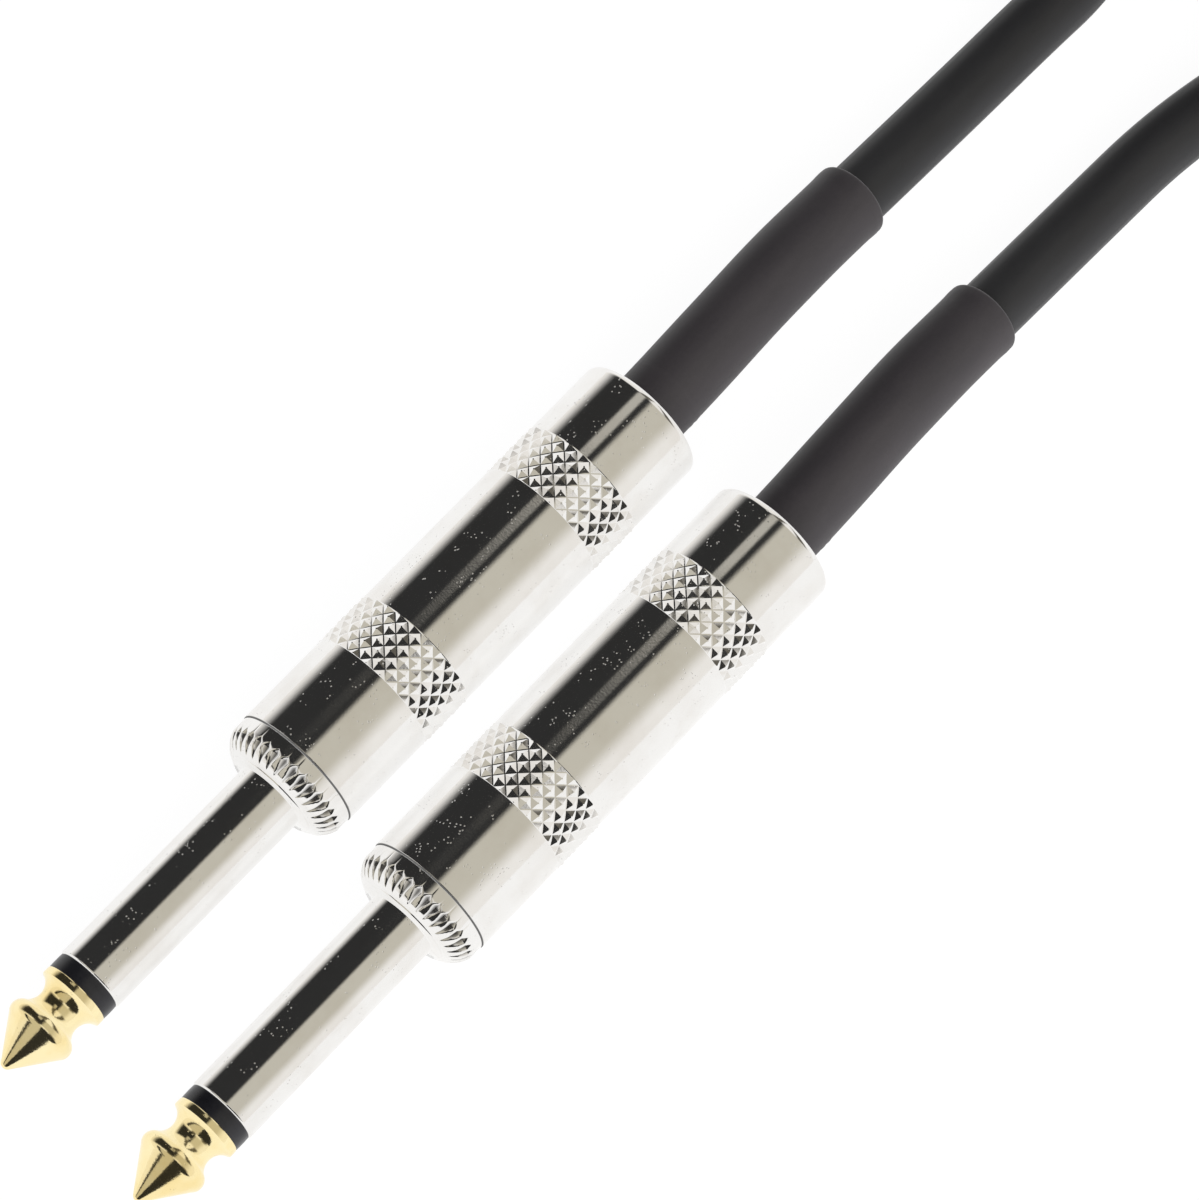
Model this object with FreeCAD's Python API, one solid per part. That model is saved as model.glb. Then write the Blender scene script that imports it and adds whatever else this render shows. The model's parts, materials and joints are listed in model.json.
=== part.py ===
"""Instrument cable: two quarter-inch mono plugs on the ends of one three metre cable.

Millimetres, +Z up, +X from the plugs' tips towards the cable. The plugs lie side by side on
a flat surface at Z = 0, and the spare cable lies beyond them as a tied oblong hank. The
origin is under the middle of the two plugs and their strain reliefs.

Each plug is drawn about its own axis, which is the X axis with X = 0 at the very tip, and
is then moved to its place. A plug's barrel screws onto a threaded collar, over the soldered
joints, and an insulating liner inside it travels back with it.
"""
import FreeCAD, Part
import math
import os
from FreeCAD import Vector

# ---- driving dimensions, tip and shaft
shaft_radius = 3.175            # quarter-inch plug
shaft_edge = 0.15
tip_length = 8.5
tip_radius = shaft_radius - 0.025
tip_nose_radius = 0.55
tip_cone_angle = 35.0           # degrees, between the cone and the axis
tip_shoulder_x = 4.3            # widest place of the tip, from its end
tip_shoulder_round = 1.1
tip_shoulder_fall = 48.0        # degrees that the shoulder turns past its widest place
tip_neck_x = 6.3
tip_neck_radius = 2.05
tip_flange_radius = shaft_radius - 0.095
tip_flange_width = 0.65
tip_ring_width = 1.5            # the black insulator that shows between tip and shaft
tip_ring_radius = shaft_radius - 0.135
edge_crown = 0.02               # how far the flange's and the ring's edges bulge
plug_reach = 31.3               # from the tip's end to the collar's front face
rod_radius = 1.2
rod_insulator_radius = 2.2
shaft_spigot_radius = 2.9       # the shaft's reduced end, inside the collar
fit_clearance = 0.02            # between layers of the cable, and shaft and socket
tube_clearance = 0.05           # between tubes and rods that are pushed together
ring_spigot_length = 2.5
rivet_radius = 1.55
rivet_top_radius = 0.93
rivet_height = 0.5

# ---- cable
cable_radius = 2.9
shield_radius = 1.55
core_radius = 1.05
conductor_radius = 0.4
pigtail_radius = 0.6
pigtail_length = 6.5
jacket_show = 3.5               # jacket that shows ahead of the clamp
shield_bare_length = 1.2
core_rise_length = 4.1          # over which the core comes down to the cable's middle
conductor_bare_length = 5.1

# ---- strain relief: a heat-shrunk sleeve on the cable
relief_wall = 0.58
relief_inside = 9.0             # length of it that lies inside the barrel
relief_straight_spare = 3.0     # straight length left when the barrel is unscrewed
relief_bend_length = 18.0
relief_bend_angle = 9.5         # degrees
relief_bend_lean = 12.0         # degrees that the bend leans from straight down towards -Y
relief_end_round = 0.35
relief_round_limit = 0.7        # greatest share of the sleeve's wall that is rounded
relief_radius = cable_radius + fit_clearance + relief_wall

# ---- terminals and solder
terminal_thickness = 0.6
strip_clearance = 0.3           # between the jacket and the ground terminal's strip
strip_inner = cable_radius + strip_clearance
ground_ring_radius = strip_inner + terminal_thickness
ground_strip_half_angle = 32.0  # degrees
clamp_length = 6.0
clamp_gap_angle = 50.0          # degrees left open at the top of the cable clamp
clamp_to_relief = 3.9
washer_thickness = 0.9
washer_radius = 2.7
lug_radius = 2.05
lug_thickness = 0.5
lug_width = 2.4
lug_length = 6.0
solder_half_length = 1.7
solder_radius = 1.0
ground_solder_inset = 1.87      # from the pigtail's end to the middle of its bead
clamp_inner = cable_radius + fit_clearance
clamp_outer = clamp_inner + terminal_thickness

# ---- liner, and the barrel's bore that it runs in
liner_play = 0.3                # round the widest piece inside it
liner_wall = 0.4
liner_clearance = 0.1
liner_end_gap = 0.3
liner_inner = max(relief_radius, clamp_outer, ground_ring_radius) + liner_play
liner_outer = liner_inner + liner_wall
barrel_bore_radius = liner_outer + liner_clearance

# ---- thread between collar and barrel
thread_pitch = 1.0
thread_turns = 5
thread_depth = thread_pitch / 2
thread_crest_half_width = thread_pitch / 8
thread_flank_slope = 0.5        # half-width lost for each millimetre of height
thread_runout = 0.9             # plain neck between the seam and the first ridge
thread_end = 0.7                # plain neck after the last
thread_clearance = 0.11         # along the axis, at each flank
thread_radial_clearance = 0.15
thread_root_radius = barrel_bore_radius - thread_radial_clearance
thread_crest_radius = thread_root_radius + thread_depth
thread_groove_radius = thread_crest_radius + thread_radial_clearance
thread_overlap = 0.05           # the ridge and the groove reach this far past their walls
groove_turns_before = 2         # turns of groove ahead of the collar's first ridge
groove_turns_after = 1
relief_straight = thread_turns * thread_pitch + relief_straight_spare

# ---- barrel
barrel_radius = 6.0
barrel_length = 42.4
barrel_rear_wall = 2.5
barrel_rear_round = 0.7
barrel_front_chamfer = 0.12
seam_gap = 0.1                  # collar's rear face to barrel's front face
cable_hole_clearance = 0.22     # between the barrel's rear hole and the strain relief
knurl_starts = (9.0, 29.5)      # knurled bands, from the seam
knurl_width = 5.0
knurl_rise = 0.1

# ---- collar
collar_radius = barrel_radius - 0.08
collar_length = 3.1             # front face to rear face
collar_face_radius = 4.3        # flat ring round the shaft
collar_step = 0.2               # from that ring to the rim
collar_crown = (0.24, 0.18)     # the rim's arc stands this far out and forward of its chord
collar_band_width = 1.1         # plain band in front of the seam
collar_chamfer = 0.12
serration_count = 36
serration_depth = 0.28
serration_radius = 0.34
serration_overrun = 0.15        # share of its length that a notch runs past the collar's face
spigot_length = thread_runout + thread_turns * thread_pitch + thread_end

# ---- the pair of plugs
plug_spacing = 15.5
plug_stagger = 0.85             # plug b lies this much further forward

# ---- spare cable, in the finished part's own frame
hank_near_x = 124.0             # where the near fold meets the runs
hank_run = 80.0
hank_inner_turn = 18.0          # fold radius of the inner column of turns
hank_turn_gap = 0.1
hank_columns = 2
hank_layers = 5
hank_round = 2.4
tie_width = 16.0
tie_thickness = 1.0
tie_clearance = 0.1
tie_round = 2.6
tie_lift = 1.0                  # the turns ride over the strap
hank_pitch = 2 * cable_radius + hank_turn_gap
least_bend = 5 * 2 * cable_radius

X_AXIS = Vector(1, 0, 0)
Y_AXIS = Vector(0, 1, 0)
Z_AXIS = Vector(0, 0, 1)

# ---- places along a plug, from its tip's end
shaft_x = tip_length + tip_ring_width
collar_rear_x = plug_reach + collar_length
barrel_x = collar_rear_x + seam_gap
barrel_rear_x = barrel_x + barrel_length
liner_rear_x = barrel_rear_x - barrel_rear_wall - liner_end_gap
socket_end_x = collar_rear_x + spigot_length / 2
spigot_end_x = collar_rear_x + spigot_length
washer_x = spigot_end_x + terminal_thickness
lug_x = washer_x + washer_thickness
rivet_x = lug_x + lug_thickness
relief_start_x = barrel_rear_x - relief_inside
clamp_end_x = relief_start_x - clamp_to_relief
jacket_x = clamp_end_x - clamp_length - jacket_show
shield_x = jacket_x - shield_bare_length
bend_x = barrel_rear_x + relief_straight
axis_height = barrel_radius + knurl_rise

# ---- places across a plug, from its axis
tab_under_z = rivet_radius + tube_clearance
core_z = tab_under_z - conductor_radius
pigtail_z = pigtail_radius - strip_inner


def cylinder(x0, x1, radius, inner=0.0):
    """A round bar about the X axis, or a tube where inner isn't zero."""
    bar = Part.makeCylinder(radius, x1 - x0, Vector(x0, 0, 0), X_AXIS)
    if inner > 0:
        bar = bar.cut(Part.makeCylinder(inner, x1 - x0, Vector(x0, 0, 0), X_AXIS))
    return bar


def turned(outline):
    """A turned piece. The outline's entries are (x, radius) corners of a closed profile; an
    entry of four numbers is an arc that passes through its first pair and ends at its second."""
    edges = []
    here = Vector(outline[0][0], 0, outline[0][1])
    for entry in outline[1:] + outline[:1]:
        there = Vector(entry[-2], 0, entry[-1])
        if len(entry) == 4:
            edges.append(Part.Arc(here, Vector(entry[0], 0, entry[1]), there).toShape())
        elif (there - here).Length > 1e-6:
            edges.append(Part.LineSegment(here, there).toShape())
        here = there
    return Part.Face(Part.Wire(edges)).revolve(Vector(0, 0, 0), X_AXIS, 360)


def rounded_route(points, ease=0.45):
    """A wire of straight runs joined by tangent arcs, and the radii of its arcs. Each arc takes
    the same share of the shorter of its two runs."""
    edges = []
    radii = []
    here = points[0]
    for before, corner, after in zip(points, points[1:], points[2:]):
        back = (before - corner).normalize()
        on = (after - corner).normalize()
        reach = ease * min((before - corner).Length, (after - corner).Length)
        half_turn = (math.pi - back.getAngle(on)) / 2
        radius = reach / math.tan(half_turn)
        start = corner + back * reach
        end = corner + on * reach
        inward = (back + on).normalize()
        middle = corner + inward * (radius / math.cos(half_turn) - radius)
        edges.append(Part.LineSegment(here, start).toShape())
        edges.append(Part.Arc(start, middle, end).toShape())
        radii.append(radius)
        here = end
    edges.append(Part.LineSegment(here, points[-1]).toShape())
    return Part.Wire(edges), radii


def rod_along(wire, radius):
    """A round bar that follows a wire."""
    start = wire.Edges[0].valueAt(wire.Edges[0].FirstParameter)
    heading = wire.Edges[0].tangentAt(wire.Edges[0].FirstParameter)
    section = Part.Wire([Part.Circle(start, heading, radius).toShape()])
    return wire.makePipeShell([section], True, False)


def cable_layer(x0, radius, inner=0.0):
    """One layer of the cable from x0 to the strain relief's mouth, round its bend."""
    wire = Part.Wire([Part.LineSegment(Vector(x0, 0, 0), Vector(bend_x, 0, 0)).toShape(),
                      Part.Arc(Vector(bend_x, 0, 0), on_bend(0.5), on_bend(1.0)).toShape()])
    layer = rod_along(wire, radius)
    if inner > 0:
        layer = layer.cut(rod_along(wire, inner))
    return layer


def on_bend(share):
    """A point of the cable's axis in the strain relief's bend, in the plug's own frame."""
    angle = math.radians(relief_bend_angle) * share
    radius = relief_bend_length / math.radians(relief_bend_angle)
    lean = math.radians(relief_bend_lean)
    drop = radius * (1 - math.cos(angle))
    return Vector(bend_x + radius * math.sin(angle), -drop * math.sin(lean), -drop * math.cos(lean))


def mouth_heading():
    """The cable's direction where it leaves the strain relief."""
    angle = math.radians(relief_bend_angle)
    lean = math.radians(relief_bend_lean)
    return Vector(math.cos(angle), -math.sin(angle) * math.sin(lean),
                  -math.sin(angle) * math.cos(lean))


def tip():
    """The gilt tip contact, with the rod that carries its signal to the back of the plug."""
    cone = math.radians(tip_cone_angle)
    nose_top = (tip_nose_radius * (1 - math.sin(cone)), tip_nose_radius * math.cos(cone))
    nose_mid = (tip_nose_radius * (1 - math.cos(cone / 2 - math.pi / 4)),
                tip_nose_radius * math.sin(math.pi / 4 - cone / 2))
    shoulder_r = tip_radius - tip_shoulder_round
    shoulder_start = (tip_shoulder_x - tip_shoulder_round * math.sin(cone),
                      shoulder_r + tip_shoulder_round * math.cos(cone))
    cone_end_r = nose_top[1] + (shoulder_start[0] - nose_top[0]) * math.tan(cone)
    shoulder_start = (shoulder_start[0], min(cone_end_r, shoulder_start[1]))
    fall = math.radians(tip_shoulder_fall)
    shoulder_end = (tip_shoulder_x + tip_shoulder_round * math.sin(fall),
                    shoulder_r + tip_shoulder_round * math.cos(fall))
    flange_x = tip_length - tip_flange_width
    return turned([
        (0, 0),
        nose_mid + nose_top,
        shoulder_start,
        (tip_shoulder_x, tip_radius) + shoulder_end,
        (tip_neck_x, tip_neck_radius, flange_x, tip_flange_radius),
        (flange_x + tip_flange_width / 2, tip_flange_radius + edge_crown,
         tip_length, tip_flange_radius),
        (tip_length, rod_radius),
        (rivet_x, rod_radius),
        (rivet_x, rivet_radius),
        (rivet_x + rivet_height, rivet_top_radius),
        (rivet_x + rivet_height, 0),
    ])


def tip_insulator():
    """The black ring between tip and shaft, with a spigot that centres it in the shaft."""
    spigot_end = shaft_x + ring_spigot_length
    inner = rod_radius + tube_clearance
    crown = (tip_length + tip_ring_width / 2, tip_ring_radius + edge_crown)
    return turned([(tip_length, inner), (tip_length, tip_ring_radius),
                   crown + (shaft_x, tip_ring_radius), (shaft_x, rod_insulator_radius),
                   (spigot_end, rod_insulator_radius), (spigot_end, inner)])


def rod_insulator():
    """The tube that keeps the rod clear of the shaft and of the ground terminal."""
    start = shaft_x + ring_spigot_length
    return cylinder(start, washer_x, rod_insulator_radius, rod_radius + tube_clearance)


def shaft_sleeve():
    """The nickel shaft. Its reduced end is pressed into the collar as far as its shoulder."""
    inner = rod_insulator_radius + tube_clearance
    return turned([(shaft_x, inner), (shaft_x, shaft_radius - shaft_edge),
                   (shaft_x + shaft_edge, shaft_radius), (plug_reach, shaft_radius),
                   (plug_reach, shaft_spigot_radius), (socket_end_x, shaft_spigot_radius),
                   (socket_end_x, inner)])


def thread(x_start, turns, base_radius, crest_radius, clearance=0.0):
    """A right-handed helical ridge about the X axis, as wide at each radius as the collar's
    thread with a clearance at each flank. Ridges whose x_start differs by a whole number of
    pitches are in step."""
    helix = Part.makeHelix(thread_pitch, turns * thread_pitch, base_radius)
    corners = []
    for radius, side in ((base_radius, -1), (crest_radius, -1), (crest_radius, 1), (base_radius, 1)):
        rise = thread_crest_radius - radius
        half_width = thread_crest_half_width + rise * thread_flank_slope + clearance
        corners.append(Vector(radius, 0, side * half_width))
    profile = Part.makePolygon(corners + corners[:1])
    ridge = Part.Wire(helix.Edges).makePipeShell([profile], True, True)
    ridge.rotate(Vector(0, 0, 0), Y_AXIS, 90)
    ridge.translate(Vector(x_start, 0, 0))
    return ridge


def collar():
    """The front collar: a serrated rim, the shaft's socket and the thread for the barrel."""
    socket = shaft_spigot_radius + fit_clearance
    bore = rod_insulator_radius + tube_clearance
    rim_x = plug_reach + collar_step
    rim_r = collar_face_radius + collar_step
    band_x = collar_rear_x - collar_band_width
    crown = ((rim_x + band_x) / 2 - collar_crown[1], (rim_r + collar_radius) / 2 + collar_crown[0])
    body = turned([
        (plug_reach, socket), (plug_reach, collar_face_radius), (rim_x, rim_r),
        crown + (band_x, collar_radius),
        (collar_rear_x - collar_chamfer, collar_radius),
        (collar_rear_x, collar_radius - collar_chamfer),
        (collar_rear_x, thread_root_radius), (spigot_end_x, thread_root_radius),
        (spigot_end_x, bore), (socket_end_x, bore), (socket_end_x, socket),
    ])
    body = body.cut(serrations(Vector(rim_x, 0, rim_r), Vector(band_x, 0, collar_radius)))
    ridge = thread(barrel_x + thread_runout, thread_turns, thread_root_radius - thread_overlap,
                   thread_crest_radius)
    return body.fuse(ridge)


def serrations(front, back):
    """Round-bottomed notches over the collar's rim, from its face back to its plain band."""
    along = back - front
    out = Vector(-along.z, 0, along.x).normalize()
    if out.z < 0:
        out = -out
    crown_rise = math.hypot(*collar_crown)
    start = front + out * (serration_radius + crown_rise - serration_depth) - along * serration_overrun
    cutters = []
    for step in range(serration_count):
        length = along.Length * (1 + serration_overrun)
        cutter = Part.makeCylinder(serration_radius, length, start, along)
        cutter.rotate(Vector(0, 0, 0), X_AXIS, step * 360.0 / serration_count)
        cutters.append(cutter)
    return Part.makeCompound(cutters)


def barrel():
    """The nickel barrel, with two raised bands for the fingers and the thread inside."""
    hole = relief_radius + cable_hole_clearance
    outline = [(barrel_x, barrel_bore_radius), (barrel_x, barrel_radius - barrel_front_chamfer),
               (barrel_x + barrel_front_chamfer, barrel_radius)]
    for start in knurl_starts:
        outline += [(barrel_x + start, barrel_radius),
                    (barrel_x + start + knurl_rise, barrel_radius + knurl_rise),
                    (barrel_x + start + knurl_width - knurl_rise, barrel_radius + knurl_rise),
                    (barrel_x + start + knurl_width, barrel_radius)]
    round_x = barrel_rear_x - barrel_rear_round
    round_r = barrel_radius - barrel_rear_round
    reach = barrel_rear_round * math.sqrt(0.5)
    wall_x = barrel_rear_x - barrel_rear_wall
    outline += [(round_x, barrel_radius),
                (round_x + reach, round_r + reach, barrel_rear_x, round_r),
                (barrel_rear_x, hole), (wall_x, hole), (wall_x, barrel_bore_radius)]
    groove_x = barrel_x + thread_runout - groove_turns_before * thread_pitch
    groove = thread(groove_x, groove_turns_before + thread_turns + groove_turns_after,
                    barrel_bore_radius - thread_overlap, thread_groove_radius, thread_clearance)
    return turned(outline).cut(groove)


def liner():
    """The insulating tube inside the barrel."""
    return cylinder(washer_x + liner_end_gap, liner_rear_x, liner_outer, liner_inner)


def ground_terminal():
    """The ground terminal: a ring on the collar, a curved strip and the cable's clamp."""
    ring = cylinder(spigot_end_x, washer_x, ground_ring_radius, rod_insulator_radius + tube_clearance)
    strip = cylinder(spigot_end_x, clamp_end_x, ground_ring_radius, strip_inner)
    strip = strip.common(sector(spigot_end_x, clamp_end_x, 270, 2 * ground_strip_half_angle))
    clamp_x = clamp_end_x - clamp_length
    clamp = cylinder(clamp_x, clamp_end_x, clamp_outer, clamp_inner)
    clamp = clamp.common(sector(clamp_x, clamp_end_x, 270, 360 - clamp_gap_angle))
    strip = strip.cut(cylinder(clamp_x, clamp_end_x, clamp_inner))
    return ring.fuse([strip, clamp]).removeSplitter()


def sector(x0, x1, middle_angle, width_angle):
    """A pie slice about the X axis. Angles are in degrees, from +Y towards +Z."""
    reach = 3 * barrel_radius
    wedge = Part.makeCylinder(reach, x1 - x0, Vector(0, 0, 0), Z_AXIS, width_angle)
    wedge.rotate(Vector(0, 0, 0), Z_AXIS, middle_angle - width_angle / 2)
    wedge.rotate(Vector(0, 0, 0), X_AXIS, 90)
    wedge.rotate(Vector(0, 0, 0), Z_AXIS, 90)
    wedge.translate(Vector(x0, 0, 0))
    return wedge


def insulating_washer():
    """The washer between the ground terminal and the tip's lug."""
    return cylinder(washer_x, lug_x, washer_radius, rod_radius + tube_clearance)


def tip_lug():
    """The tip's solder lug: a washer riveted to the rod, with a flat tab above it."""
    ring = cylinder(lug_x, rivet_x, lug_radius, rod_radius + tube_clearance)
    tab = Part.makeBox(lug_length, lug_width, lug_thickness, Vector(lug_x, -lug_width / 2, tab_under_z))
    return ring.fuse(tab)


def core_route():
    """The inner core's centre line, from under the tab back into the cable's middle."""
    return [Vector(lug_x + lug_length - 2 * solder_half_length, 0, core_z),
            Vector(shield_x - core_rise_length, 0, core_z), Vector(shield_x, 0, 0),
            Vector(jacket_x + shield_bare_length, 0, 0)]


def core_bar(x_from, x_to, radius):
    """The stretch of a round bar on the core's route between two places along X."""
    wire, _ = rounded_route(core_route())
    side = 4 * cable_radius
    space = Part.makeBox(x_to - x_from, side, side, Vector(x_from, -side / 2, -side / 2))
    return rod_along(wire, radius).common(space)


def core_conductor():
    """The bare stranded conductor that is soldered to the tab."""
    start = core_route()[0].x
    return core_bar(start, start + conductor_bare_length, conductor_radius)


def core_insulation():
    """The core's white insulation, from the bare conductor back to the mouth."""
    bent = core_bar(core_route()[0].x + conductor_bare_length, jacket_x, core_radius)
    return bent.fuse(cable_layer(jacket_x, core_radius)).removeSplitter()


def cable_shield():
    """The braided shield round the core, from just ahead of the jacket to the mouth."""
    space = core_radius + fit_clearance
    wire, _ = rounded_route(core_route())
    return cable_layer(shield_x, shield_radius, space).cut(rod_along(wire, space))


def shield_pigtail():
    """The shield's strands, twisted together and laid on the ground terminal."""
    start_z = -(core_radius + tube_clearance + pigtail_radius)
    wire, _ = rounded_route([Vector(shield_x - pigtail_length, 0, pigtail_z),
                             Vector(shield_x - pigtail_length / 2, 0, pigtail_z),
                             Vector(shield_x, 0, start_z)])
    bar = rod_along(wire, pigtail_radius)
    return bar.cut(cable_layer(shield_x, shield_radius))


def jacket_end():
    """The cable's jacket, from its cut end inside the plug to the strain relief's mouth."""
    return cable_layer(jacket_x, cable_radius, shield_radius + fit_clearance)


def solder_bead(x, z):
    """A bead of solder, a spindle about a line along X."""
    middle = Vector(x, 0, z + solder_radius)
    arc = Part.Arc(Vector(x - solder_half_length, 0, z), middle, Vector(x + solder_half_length, 0, z))
    chord = Part.LineSegment(Vector(x + solder_half_length, 0, z), Vector(x - solder_half_length, 0, z))
    face = Part.Face(Part.Wire([arc.toShape(), chord.toShape()]))
    return face.revolve(Vector(x, 0, z), X_AXIS, 360)


def tip_solder():
    """Solder between the conductor and the underside of the tip's tab."""
    bead = solder_bead(core_route()[0].x + solder_half_length, core_z)
    above = Part.makeBox(lug_length, 2 * lug_width, lug_width, Vector(lug_x, -lug_width, tab_under_z))
    return bead.cut(above).cut(core_conductor())


def ground_solder():
    """Solder between the pigtail and the ground terminal."""
    bead = solder_bead(shield_x - pigtail_length + ground_solder_inset, pigtail_z)
    return bead.common(cylinder(spigot_end_x, jacket_x, strip_inner)).cut(shield_pigtail())


def strain_relief():
    """The heat-shrunk sleeve that stiffens the cable where it leaves the barrel."""
    sleeve = cable_layer(relief_start_x, relief_radius, cable_radius + fit_clearance)
    mouth = on_bend(1.0)
    rims = []
    for edge in sleeve.Edges:
        middle = edge.BoundBox.Center
        outside = edge.Length > 2 * math.pi * (cable_radius + relief_wall / 2)
        is_rim = (middle - mouth).Length < fit_clearance and outside
        if is_rim:
            rims.append(edge)
    round_size = min(relief_end_round, relief_wall * relief_round_limit)
    return sleeve.makeFillet(round_size, rims)


def hank_ring(x0, x1, inner, outer, z0, z1):
    """An oblong ring with round ends, lying flat between two heights."""
    return oblong(x0, x1, outer, z0, z1).cut(oblong(x0, x1, inner, z0, z1))


def oblong(x0, x1, radius, z0, z1):
    """A flat solid with two straight sides and two round ends."""
    middle = Part.makeBox(x1 - x0, 2 * radius, z1 - z0, Vector(x0, -radius, z0))
    ends = [Part.makeCylinder(radius, z1 - z0, Vector(x, 0, z0), Z_AXIS) for x in (x0, x1)]
    return middle.fuse(ends).removeSplitter()


def hank_sides():
    """Inner and outer radius of the hank, and its height."""
    inner = hank_inner_turn - cable_radius
    outer = hank_inner_turn + (hank_columns - 1) * hank_pitch + cable_radius
    height = (hank_layers - 1) * hank_pitch + 2 * cable_radius
    return inner, outer, height


def hank():
    """The outer shape of the spare cable's turns, with a slot for the strap under it."""
    inner, outer, height = hank_sides()
    ring = hank_ring(hank_near_x, hank_near_x + hank_run, inner, outer, 0, height)
    rims = [edge for edge in ring.Edges if abs(edge.tangentAt(edge.FirstParameter).z) < 0.5]
    ring = ring.makeFillet(hank_round, rims)
    x0 = hank_near_x + (hank_run - tie_width) / 2
    slot = Part.makeBox(tie_width, 2 * outer, tie_thickness, Vector(x0, -2 * outer, 0))
    return ring.cut(slot)


def tie():
    """The hook-and-loop strap round the hank's -Y run."""
    inner, outer, height = hank_sides()
    x0 = hank_near_x + (hank_run - tie_width) / 2
    y0 = -outer - tie_clearance
    y1 = -inner + tie_clearance
    z0 = tie_thickness
    z1 = height + tie_lift + tie_clearance
    space = rounded_bar(x0, tie_width, y0, y1, z0, z1, tie_round)
    wrap = rounded_bar(x0, tie_width, y0 - tie_thickness, y1 + tie_thickness,
                       z0 - tie_thickness, z1 + tie_thickness, tie_round + tie_thickness)
    return wrap.cut(space)


def rounded_bar(x0, length, y0, y1, z0, z1, radius):
    """A bar along X whose four long edges are rounded."""
    bar = Part.makeBox(length, y1 - y0, z1 - z0, Vector(x0, y0, z0))
    long_edges = [edge for edge in bar.Edges if abs(edge.tangentAt(edge.FirstParameter).x) > 0.9]
    return bar.makeFillet(radius, long_edges)


def lead(name, mouth, landing, rest_of_route):
    """The free cable between a strain relief and the hank, with its checks printed."""
    points = [mouth, landing] + [Vector(*point) for point in rest_of_route]
    wire, radii = rounded_route(points)
    bar = rod_along(wire, cable_radius)
    fill = bar.Volume / (math.pi * cable_radius ** 2 * wire.Length)
    print(name, "length %.1f, radii" % wire.Length, ["%.0f" % radius for radius in radii],
          "least %.0f of %.0f" % (min(radii), least_bend), "volume ratio %.4f" % fill)
    return bar


# The leads' routes after they land, in the finished part's own frame. Lead a joins the hank's
# bottom turn on its +Y side. Lead b climbs to the second turn on its -Y side.
lying = cable_radius
lead_a_route = [
    (75.0, 6.5, lying), (87.0, 8.4, lying), (97.0, 13.6, lying), (106.0, 19.4, lying),
    (115.0, 22.8, lying), (124.0, 23.9, lying),
]
lead_b_route = [
    (74.2, -9.0, lying), (86.0, -10.6, lying + 1.1), (96.5, -15.2, lying + 3.7),
    (106.0, -20.6, lying + 5.6), (115.0, -23.3, lying + 5.9), (124.0, -23.9, lying + 5.9),
]

plug_pieces = {
    "tip": tip, "tip_insulator": tip_insulator, "rod_insulator": rod_insulator,
    "shaft_sleeve": shaft_sleeve, "collar": collar, "ground_terminal": ground_terminal,
    "insulating_washer": insulating_washer, "tip_lug": tip_lug, "core_conductor": core_conductor,
    "core_insulation": core_insulation, "cable_shield": cable_shield,
    "shield_pigtail": shield_pigtail, "jacket_end": jacket_end, "tip_solder": tip_solder,
    "ground_solder": ground_solder, "strain_relief": strain_relief, "liner": liner,
    "barrel": barrel,
}

# The origin lies midway between plug b's tip and the rim of plug a's strain relief.
mouth_rim_x = on_bend(1.0).x + relief_radius * math.sin(math.radians(relief_bend_angle))
origin_x = (mouth_rim_x - plug_stagger) / 2
places = {
    "a": Vector(-origin_x, plug_spacing / 2, axis_height),
    "b": Vector(-origin_x - plug_stagger, -plug_spacing / 2, axis_height),
}

nodes = {}
mouths = {}
for letter, place in places.items():
    for piece, make in plug_pieces.items():
        shape = make()
        shape.translate(place)
        nodes[piece + "_" + letter] = shape
    mouth = on_bend(1.0) + place
    heading = mouth_heading()
    landing = mouth + heading * ((mouth.z - cable_radius) / -heading.z)
    mouths[letter] = (mouth, landing)

nodes["lead_a"] = lead("lead a", *mouths["a"], lead_a_route)
nodes["lead_b"] = lead("lead b", *mouths["b"], lead_b_route)
nodes["hank"] = hank()
nodes["tie"] = tie()

os.makedirs("parts", exist_ok=True)
for name, shape in nodes.items():
    box = shape.BoundBox
    solids = len(shape.Solids)
    if solids != 1 or not shape.isValid():
        print("look at", name, "solids", solids, "valid", shape.isValid())
    shape.exportStep("parts/" + name + ".step")
print(len(nodes), "nodes; origin %.3f behind plug a's tip" % origin_x)
print("mouths and landings", mouths)
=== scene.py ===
# %% [markdown]
# # An instrument cable: two jack plugs on one coiled cable
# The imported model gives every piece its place, in metres, with +X running from the plugs' tips
# towards the cable and +Z up. This lesson dresses that model. Each visible piece gets a finer
# mesh and a finish, and rides on the body that moves it: the two barrels screw on and off, and
# everything else stays with the cable.

# %% Load the frame
import json
import math
import random

import bmesh
import bpy
from mathutils import Matrix, Vector


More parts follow.
